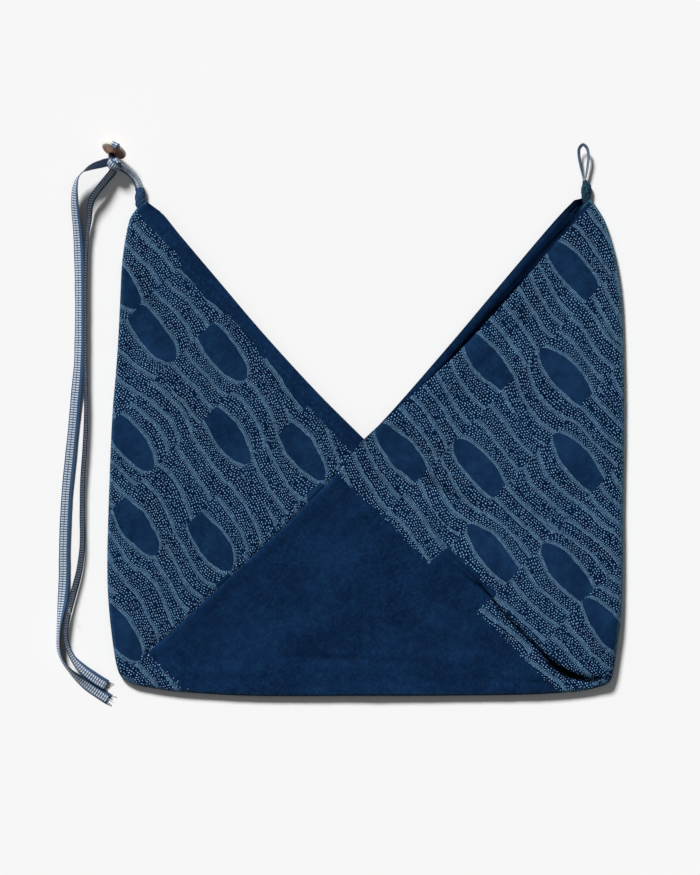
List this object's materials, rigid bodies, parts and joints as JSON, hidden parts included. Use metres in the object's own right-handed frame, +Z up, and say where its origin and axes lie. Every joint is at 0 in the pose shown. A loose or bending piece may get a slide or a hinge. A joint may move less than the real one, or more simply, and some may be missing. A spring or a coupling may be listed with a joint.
{
  "type": "knot bag",
  "caption": "Soft cotton knot bag lying flat, folded from one strip, with a V-shaped mouth between two peaks, a button on a tape tie and a button loop.",
  "frame": {"origin": "on the underside that the bag rests on, 9 mm below the V of its mouth", "axes": "+Y towards the two peaks, +X towards the peak with the button loop, +Z up from the surface"},
  "size_m": [0.5687, 0.5617, 0.0254],
  "materials": {
    "bag_cotton": "matt plain weave, pale dotted bands on indigo",
    "tab_cotton": "matt plain weave",
    "tie_tape": "matt narrow tape, pale dashes on indigo",
    "loop_tape": "matt narrow tape",
    "button_wood": "satin, dark brown with a paler rim"
  },
  "bodies": {
    "root": {"bag_cloth": "bag_cotton", "left_tab": "tab_cotton", "right_tab": "tab_cotton", "tie_knot": "tie_tape", "tie_left_tail": "tie_tape", "tie_right_tail": "tie_tape", "button": "button_wood", "button_loop": "loop_tape"}
  },
  "joints": []
}
